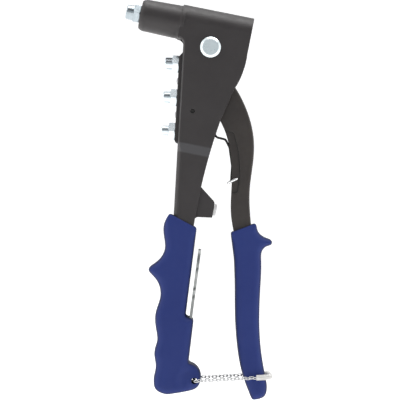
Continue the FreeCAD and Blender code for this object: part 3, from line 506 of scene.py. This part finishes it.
# ---------------------------------------------------------------------------
# Meshes
# ---------------------------------------------------------------------------
def new_piece(name, points, faces, material, body, replaced):
    """A smooth mesh piece that rides on a body and stands for a CAD node."""
    mesh = bpy.data.meshes.new(name)
    mesh.from_pydata([tuple(p) for p in points], [], faces)
    mesh.validate()
    mesh.shade_smooth()
    mesh.materials.append(material)
    piece = bpy.data.objects.new(name, mesh)
    bpy.context.scene.collection.objects.link(piece)
    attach(piece, body)
    if replaced:
        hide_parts(replaced)
    return piece


def recalculate(piece):
    """Turns all faces outwards."""
    work = bmesh.new()
    work.from_mesh(piece.data)
    bmesh.ops.recalc_face_normals(work, faces=work.faces)
    work.to_mesh(piece.data)
    work.free()


def tube(path, radius, sides=12, closed=False):
    """Points and faces of a round tube along a path; its ends are rounded."""
    path = [Vector(p) for p in path]
    count = len(path)
    points, faces, rings = [], [], []
    across = None

    def ring(centre, direction, size):
        nonlocal across
        if across is None:
            across = direction.orthogonal().normalized()
        across = (across - direction * across.dot(direction)).normalized()
        up = direction.cross(across)
        first = len(points)
        for n in range(sides):
            turn = 2 * math.pi * n / sides
            points.append(centre + (across * math.cos(turn) + up * math.sin(turn)) * size)
        rings.append(first)

    def direction_at(n):
        before = path[(n - 1) % count] if closed or n > 0 else path[n]
        after = path[(n + 1) % count] if closed or n < count - 1 else path[n]
        return (after - before).normalized()

    dome = [math.radians(a) for a in (75, 50, 25)]
    if not closed:
        start = direction_at(0)
        for a in dome:
            ring(path[0] - start * radius * math.sin(a), start, radius * math.cos(a))
    for n in range(count):
        ring(path[n], direction_at(n), radius)
    if not closed:
        end = direction_at(count - 1)
        for a in reversed(dome):
            ring(path[-1] + end * radius * math.sin(a), end, radius * math.cos(a))
    pairs = list(zip(rings, rings[1:]))
    if closed:
        pairs.append((rings[-1], rings[0]))
    for a, b in pairs:
        for n in range(sides):
            m = (n + 1) % sides
            faces.append((a + n, a + m, b + m, b + n))
    if not closed:
        faces.append(tuple(range(rings[0] + sides - 1, rings[0] - 1, -1)))
        faces.append(tuple(range(rings[-1], rings[-1] + sides)))
    return points, faces


def rounded_route(corners, bend, step=0.35 * MM):
    """The route through these corners with each corner turned at a radius."""
    corners = [Vector(c) for c in corners]
    route = [corners[0]]
    for before, here, after in zip(corners, corners[1:], corners[2:]):
        a, b = (before - here), (after - here)
        room = min(a.length, b.length) * 0.45
        a, b = a.normalized(), b.normalized()
        half = a.angle(b) / 2
        cut = min(bend / math.tan(half), room)
        start, end = here + a * cut, here + b * cut
        pieces = max(3, int(cut * 2 / step))
        for n in range(pieces + 1):
            t = n / pieces
            route.append(start * (1 - t) ** 2 + here * 2 * t * (1 - t) + end * t ** 2)
    route.append(corners[-1])
    return route


# ---------------------------------------------------------------------------
# Grips: soft slabs over the side outlines that the CAD grips have
# ---------------------------------------------------------------------------
def spline(points, steps=14):
    """A smooth curve through these points: a natural cubic over chord lengths."""
    points = np.array(points, float)
    count = len(points)
    gaps = np.hypot(*np.diff(points, axis=0).T)
    matrix, right = np.eye(count), np.zeros((count, 2))
    for n in range(1, count - 1):
        before, after = gaps[n - 1], gaps[n]
        matrix[n, n - 1:n + 2] = before, 2 * (before + after), after
        slopes = (points[n + 1] - points[n]) / after - (points[n] - points[n - 1]) / before
        right[n] = 6 * slopes
    bends = np.linalg.solve(matrix, right)
    curve = []
    for n in range(count - 1):
        gap = gaps[n]
        for t in np.linspace(0, gap, steps, endpoint=False):
            rest = gap - t
            curve.append(
                (bends[n] * rest ** 3 + bends[n + 1] * t ** 3) / (6 * gap)
                + (points[n] / gap - bends[n] * gap / 6) * rest
                + (points[n + 1] / gap - bends[n + 1] * gap / 6) * t
            )
    return curve + [points[-1]]


def outline_of(start, *pieces):
    """The rows of an outline in metres, from (x, z) points in millimetres.  A piece
    is a point (a line to it) or a list (a smooth curve through its points)."""
    rows = [np.array(start, float)]
    for piece in pieces:
        if isinstance(piece, tuple):
            rows.append(np.array(piece, float))
        else:
            rows += spline([rows[-1], *piece])[1:]
    rows = np.array(rows) * MM
    ahead = np.roll(rows, -1, 0)
    area = np.sum(rows[:, 0] * ahead[:, 1] - ahead[:, 0] * rows[:, 1])
    return rows if area > 0 else rows[::-1]


# the grips' side outlines, (x, z) in millimetres, as the CAD grips have them
FIXED_GRIP = (
    (53.9, -124.5),
    [(51.7, -132.5), (53.3, -140.0), (55.4, -147.5), (53.8, -154.5), (48.7, -160.6)],
    [(47.4, -163.0), (48.7, -164.9)],
    [(55.3, -170.2), (58.7, -179.9), (57.7, -190.5), (60.0, -200.2),
     (62.3, -208.5), (61.8, -215.0), (64.3, -223.0), (64.7, -232.0)],
    [(67.2, -238.9), (75.2, -241.1)],
    (89.6, -235.9),
    [(93.9, -232.9), (95.2, -229.0), (94.4, -223.2)],
    [(91.4, -219.8), (85.1, -217.9)],
    (82.9, -189.8),
    (82.3, -189.2),
    (77.2, -188.4),
    (73.1, -130.3),
)
LEVER_GRIP = (
    (95.6, -128.9),
    (110.4, -119.8),
    [(111.4, -121.8), (113.0, -124.9), (116.4, -127.3), (122.3, -128.4)],
    [(123.7, -130.0), (123.3, -132.0)],
    [(119.6, -134.0), (118.0, -137.6), (118.7, -142.6), (121.6, -159.6), (125.9, -184.7),
     (131.2, -203.8), (138.4, -222.0)],
    [(138.6, -229.6), (130.9, -234.0)],
    [(121.0, -217.8), (114.6, -201.6), (109.0, -181.0), (104.6, -160.0),
     (101.2, -145.6)],
)


def even_outline(outline, step, rounds):
    """The outline resampled at an even step, with its corners slightly rounded."""
    closed = np.vstack([outline, outline[:1]])
    lengths = np.hypot(*np.diff(closed, axis=0).T)
    along = np.concatenate([[0], np.cumsum(lengths)])
    count = int(along[-1] / step)
    spots = np.linspace(0, along[-1], count, endpoint=False)
    even = np.column_stack([np.interp(spots, along, closed[:, k]) for k in (0, 1)])
    for _ in range(rounds):
        even = even * 0.5 + (np.roll(even, 1, 0) + np.roll(even, -1, 0)) * 0.25
    return even


def depth_inside(points, outline):
    """The distance of each point from the outline."""
    a, b = outline, np.roll(outline, -1, 0)
    best = np.full(len(points), 1e9)
    for start, end in zip(a, b):
        run = end - start
        t = np.clip(((points - start) @ run) / (run @ run), 0, 1)
        gap = points - start - t[:, None] * run
        best = np.minimum(best, np.hypot(gap[:, 0], gap[:, 1]))
    return best


def is_inside(points, outline):
    inside = np.zeros(len(points), bool)
    for (x1, z1), (x2, z2) in zip(outline, np.roll(outline, -1, 0)):
        crosses = (z1 > points[:, 1]) != (z2 > points[:, 1])
        with np.errstate(divide="ignore", invalid="ignore"):
            x = x1 + (points[:, 1] - z1) * (x2 - x1) / (z2 - z1)
        inside ^= crosses & (points[:, 0] < x)
    return inside


def soft_slab(outline, half_at, round_at, grid=1.5 * MM):
    """Points and faces of a slab whose two sides meet its flanks in a round.

    half_at and round_at give the half thickness and the radius of the round at
    rows of (x, z) points.
    """
    count = len(outline)
    tangent = np.roll(outline, -1, 0) - np.roll(outline, 1, 0)
    tangent /= np.hypot(*tangent.T)[:, None]
    inwards = np.column_stack([-tangent[:, 1], tangent[:, 0]])
    inner = [outline]
    radius = round_at(outline)
    for degrees in (12, 24, 36, 48, 62, 76, 90):
        deep = radius * (1 - math.cos(math.radians(degrees)))
        ring = outline + inwards * deep[:, None]
        true = depth_inside(ring, outline)
        inner.append(ring[(true > 0.94 * deep) & is_inside(ring, outline)])
    low, high = outline.min(0), outline.max(0)
    xs = np.arange(low[0], high[0], grid)
    zs = np.arange(low[1], high[1], grid * 0.866)
    net = np.array([(x + (n % 2) * grid / 2, z) for n, z in enumerate(zs) for x in xs])
    net = net[is_inside(net, outline)]
    inner.append(net[depth_inside(net, outline) > round_at(net) + 0.5 * grid])
    flat = np.vstack(inner)
    edges = [(n, (n + 1) % count) for n in range(count)]
    found = delaunay_2d_cdt([Vector(p) for p in flat], edges, [], 1, 1e-7)
    flat = np.array([tuple(p) for p in found[0]])
    triangles = found[2]
    depth = depth_inside(flat, outline)
    depth[:count] = 0
    radius = round_at(flat)
    half = half_at(flat)
    short = np.clip(radius - depth, 0, None)
    height = half - radius + np.sqrt(radius ** 2 - short ** 2)
    points = [(x, -y, z) for (x, z), y in zip(flat, height)]
    points += [(x, y, z) for (x, z), y in zip(flat, height)]
    far = len(flat)
    faces = [tuple(t) for t in triangles]
    faces += [tuple(far + n for n in reversed(t)) for t in triangles]
    # the flank, with a faint raised parting line along its middle
    rows = [list(range(count))]
    for share in (-0.5, -0.06, 0.0, 0.06, 0.5):
        rows.append(list(range(len(points), len(points) + count)))
        proud = 0.12 * MM if share == 0 else 0
        for n in range(count):
            x, z = outline[n] - inwards[n] * proud
            points.append((x, share * 2 * height[n], z))
    rows.append(list(range(far, far + count)))
    for a, b in zip(rows, rows[1:]):
        for n in range(count):
            m = (n + 1) % count
            faces.append((a[n], b[n], b[m], a[m]))
    return points, faces


def smooth_step(value, start, end):
    t = np.clip((value - start) / (end - start), 0, 1)
    return t * t * (3 - 2 * t)


HEEL = Vector(JOINTS["chain_swing"]["pos_m"])
HEEL_HOLE = 2.0 * MM
HEEL_THINNING = 3.0 * MM        # what the heel loses on each side round the chain's hole
EDGE_ROUND = 5.0 * MM
LIP_ROUND = 1.2 * MM
OUTLINE_STEP = 0.8 * MM


def grip_rounds(top, tilt):
    """Radius of the edges: small at the open upper end, full further down."""
    def round_at(points):
        down = top[1] - points[:, 1] + tilt * (points[:, 0] - top[0])
        return LIP_ROUND + (EDGE_ROUND - LIP_ROUND) * smooth_step(down, 0.5 * MM, 9 * MM)
    return round_at


def make_fixed_grip(blue):
    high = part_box("fixed_grip")[1]
    outline = even_outline(outline_of(*FIXED_GRIP), OUTLINE_STEP, 3)

    def half_at(points):
        """Full thickness, thinner round the chain's hole in the heel."""
        away = np.hypot(points[:, 0] - HEEL.x, points[:, 1] - HEEL.z)
        return high.y - HEEL_THINNING * (1 - smooth_step(away, 6 * MM, 13 * MM))

    round_at = grip_rounds((62 * MM, high.z - 3 * MM), -0.25)
    points, faces = soft_slab(outline, half_at, round_at)
    piece = new_piece("fixed_grip_moulding", points, faces, blue, "handle", "fixed_grip")
    recalculate(piece)
    through = Vector((0, 20 * MM, 0))
    carve(piece, *tube([HEEL - through, HEEL + through], HEEL_HOLE, 32))


def make_lever_grip(blue):
    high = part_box("lever_grip")[1]
    outline = even_outline(outline_of(*LEVER_GRIP), OUTLINE_STEP, 3)

    def half_at(points):
        return np.full(len(points), high.y)

    round_at = grip_rounds((103 * MM, high.z - 4.5 * MM), 0.58)
    points, faces = soft_slab(outline, half_at, round_at)
    piece = new_piece("lever_grip_moulding", points, faces, blue, "lever", "lever_grip")
    recalculate(piece)


def carve(piece, points, faces):
    """Cuts a closed shape out of a piece."""
    mesh = bpy.data.meshes.new("cutter")
    mesh.from_pydata([tuple(p) for p in points], [], faces)
    cutter = bpy.data.objects.new("cutter", mesh)
    bpy.context.scene.collection.objects.link(cutter)
    recalculate(cutter)
    modifier = piece.modifiers.new("carve", "BOOLEAN")
    modifier.object = cutter
    modifier.operation = "DIFFERENCE"
    modifier.solver = "EXACT"
    bpy.context.view_layer.update()
    solid = piece.evaluated_get(bpy.context.evaluated_depsgraph_get())
    carved = bpy.data.meshes.new_from_object(solid)
    piece.modifiers.clear()
    piece.data = carved
    bpy.data.objects.remove(cutter)


# ---------------------------------------------------------------------------
# Return spring
# ---------------------------------------------------------------------------
PIVOT = Vector(JOINTS["lever_pivot"]["pos_m"])


def make_return_spring(dark, bright):
    """Three close turns round the pivot, a short leg on the frame and a long leg
    down the lever's inner edge, hooked round its near cheek.  All of it rides on
    the lever, as its CAD node does."""
    radius, mean, turns = 0.75 * MM, 6.2 * MM, 3
    pitch = 2 * radius + 0.2 * MM
    length = turns * pitch
    coil = []
    steps = 28 * turns
    for n in range(steps + 1):
        turn = 2 * math.pi * turns * n / steps
        y = -length / 2 + length * n / steps
        coil.append(PIVOT + Vector((-mean * math.cos(turn), y, mean * math.sin(turn))))
    front = -length / 2
    hook_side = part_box("lever")[0].y - radius - 0.1 * MM
    leg = [(-30.0, 53.3), (-66.0, 70.6), (-69.6, 74.4), (-69.9, 80.4), (-74.5, 84.0),
           (-86.0, 88.0), (-96.0, 89.3), (-97.6, 87.6)]
    long_leg = [coil[0]] + [Vector((x * MM, front, z * MM)) for z, x in leg]
    hook = [long_leg[-1], Vector((87.6 * MM, hook_side, -97.6 * MM)),
            Vector((92.6 * MM, hook_side, -93.8 * MM))]
    short_leg = [coil[-1], coil[-1] + Vector((-0.2 * MM, 0, -14.5 * MM))]
    body = list(reversed(rounded_route(long_leg, 2.5 * MM))) + coil[1:] + short_leg[1:]
    pieces = [("return_spring_wire", body, dark, "return_spring")]
    pieces.append(("return_spring_hook", rounded_route(hook, 1.2 * MM), bright, None))
    for name, route, material, replaced in pieces:
        points, faces = tube(route, radius)
        recalculate(new_piece(name, points, faces, material, "lever", replaced))


# ---------------------------------------------------------------------------
# Keeper chain
# ---------------------------------------------------------------------------
def separate_solids(node):
    """The vertices of each separate solid of a CAD node."""
    mesh = NODES[node].data
    work = bmesh.new()
    work.from_mesh(mesh)
    bmesh.ops.remove_doubles(work, verts=work.verts, dist=1e-6)
    left, groups = set(work.verts), []
    while left:
        front, group = [left.pop()], []
        while front:
            vertex = front.pop()
            group.append(vertex.co.copy())
            for edge in vertex.link_edges:
                other = edge.other_vert(vertex)
                if other in left:
                    left.discard(other)
                    front.append(other)
        groups.append(np.array(group))
    work.free()
    return groups


def make_chain(plate):
    """A round-wire link in the place of each plain CAD link."""
    wire = 0.35 * MM
    steps = 20
    points, faces = [], []
    for solid in separate_solids("keeper_chain"):
        centre = solid.mean(0)
        spread = np.linalg.eigh((solid - centre).T @ (solid - centre))[1]
        along, across = spread[:, 2], spread[:, 1]
        reach = np.abs((solid - centre) @ along).max() - wire
        width = np.abs((solid - centre) @ across).max() - wire
        straight = reach - width
        oval = []
        for n in range(steps):
            turn = 2 * math.pi * (n + 0.5) / steps
            shift = straight * np.sign(math.cos(turn))
            oval.append(centre + along * (width * math.cos(turn) + shift)
                        + across * width * math.sin(turn))
        ring, skin = tube(oval, wire, 8, closed=True)
        faces += [tuple(len(points) + n for n in face) for face in skin]
        points += ring
    piece = new_piece("keeper_chain_links", points, faces, plate, "keeper_chain",
                      "keeper_chain")
    recalculate(piece)


# ---------------------------------------------------------------------------
# Build
# ---------------------------------------------------------------------------
bpy.context.scene.view_settings.view_transform = "Standard"
make_camera()
make_world()
make_lights()
make_backdrop()
finish_cad_nodes()
grip_blue = moulded_blue()
make_fixed_grip(grip_blue)
make_lever_grip(grip_blue)
make_return_spring(dark_wire(), bright_wire())
make_chain(chain_plate())
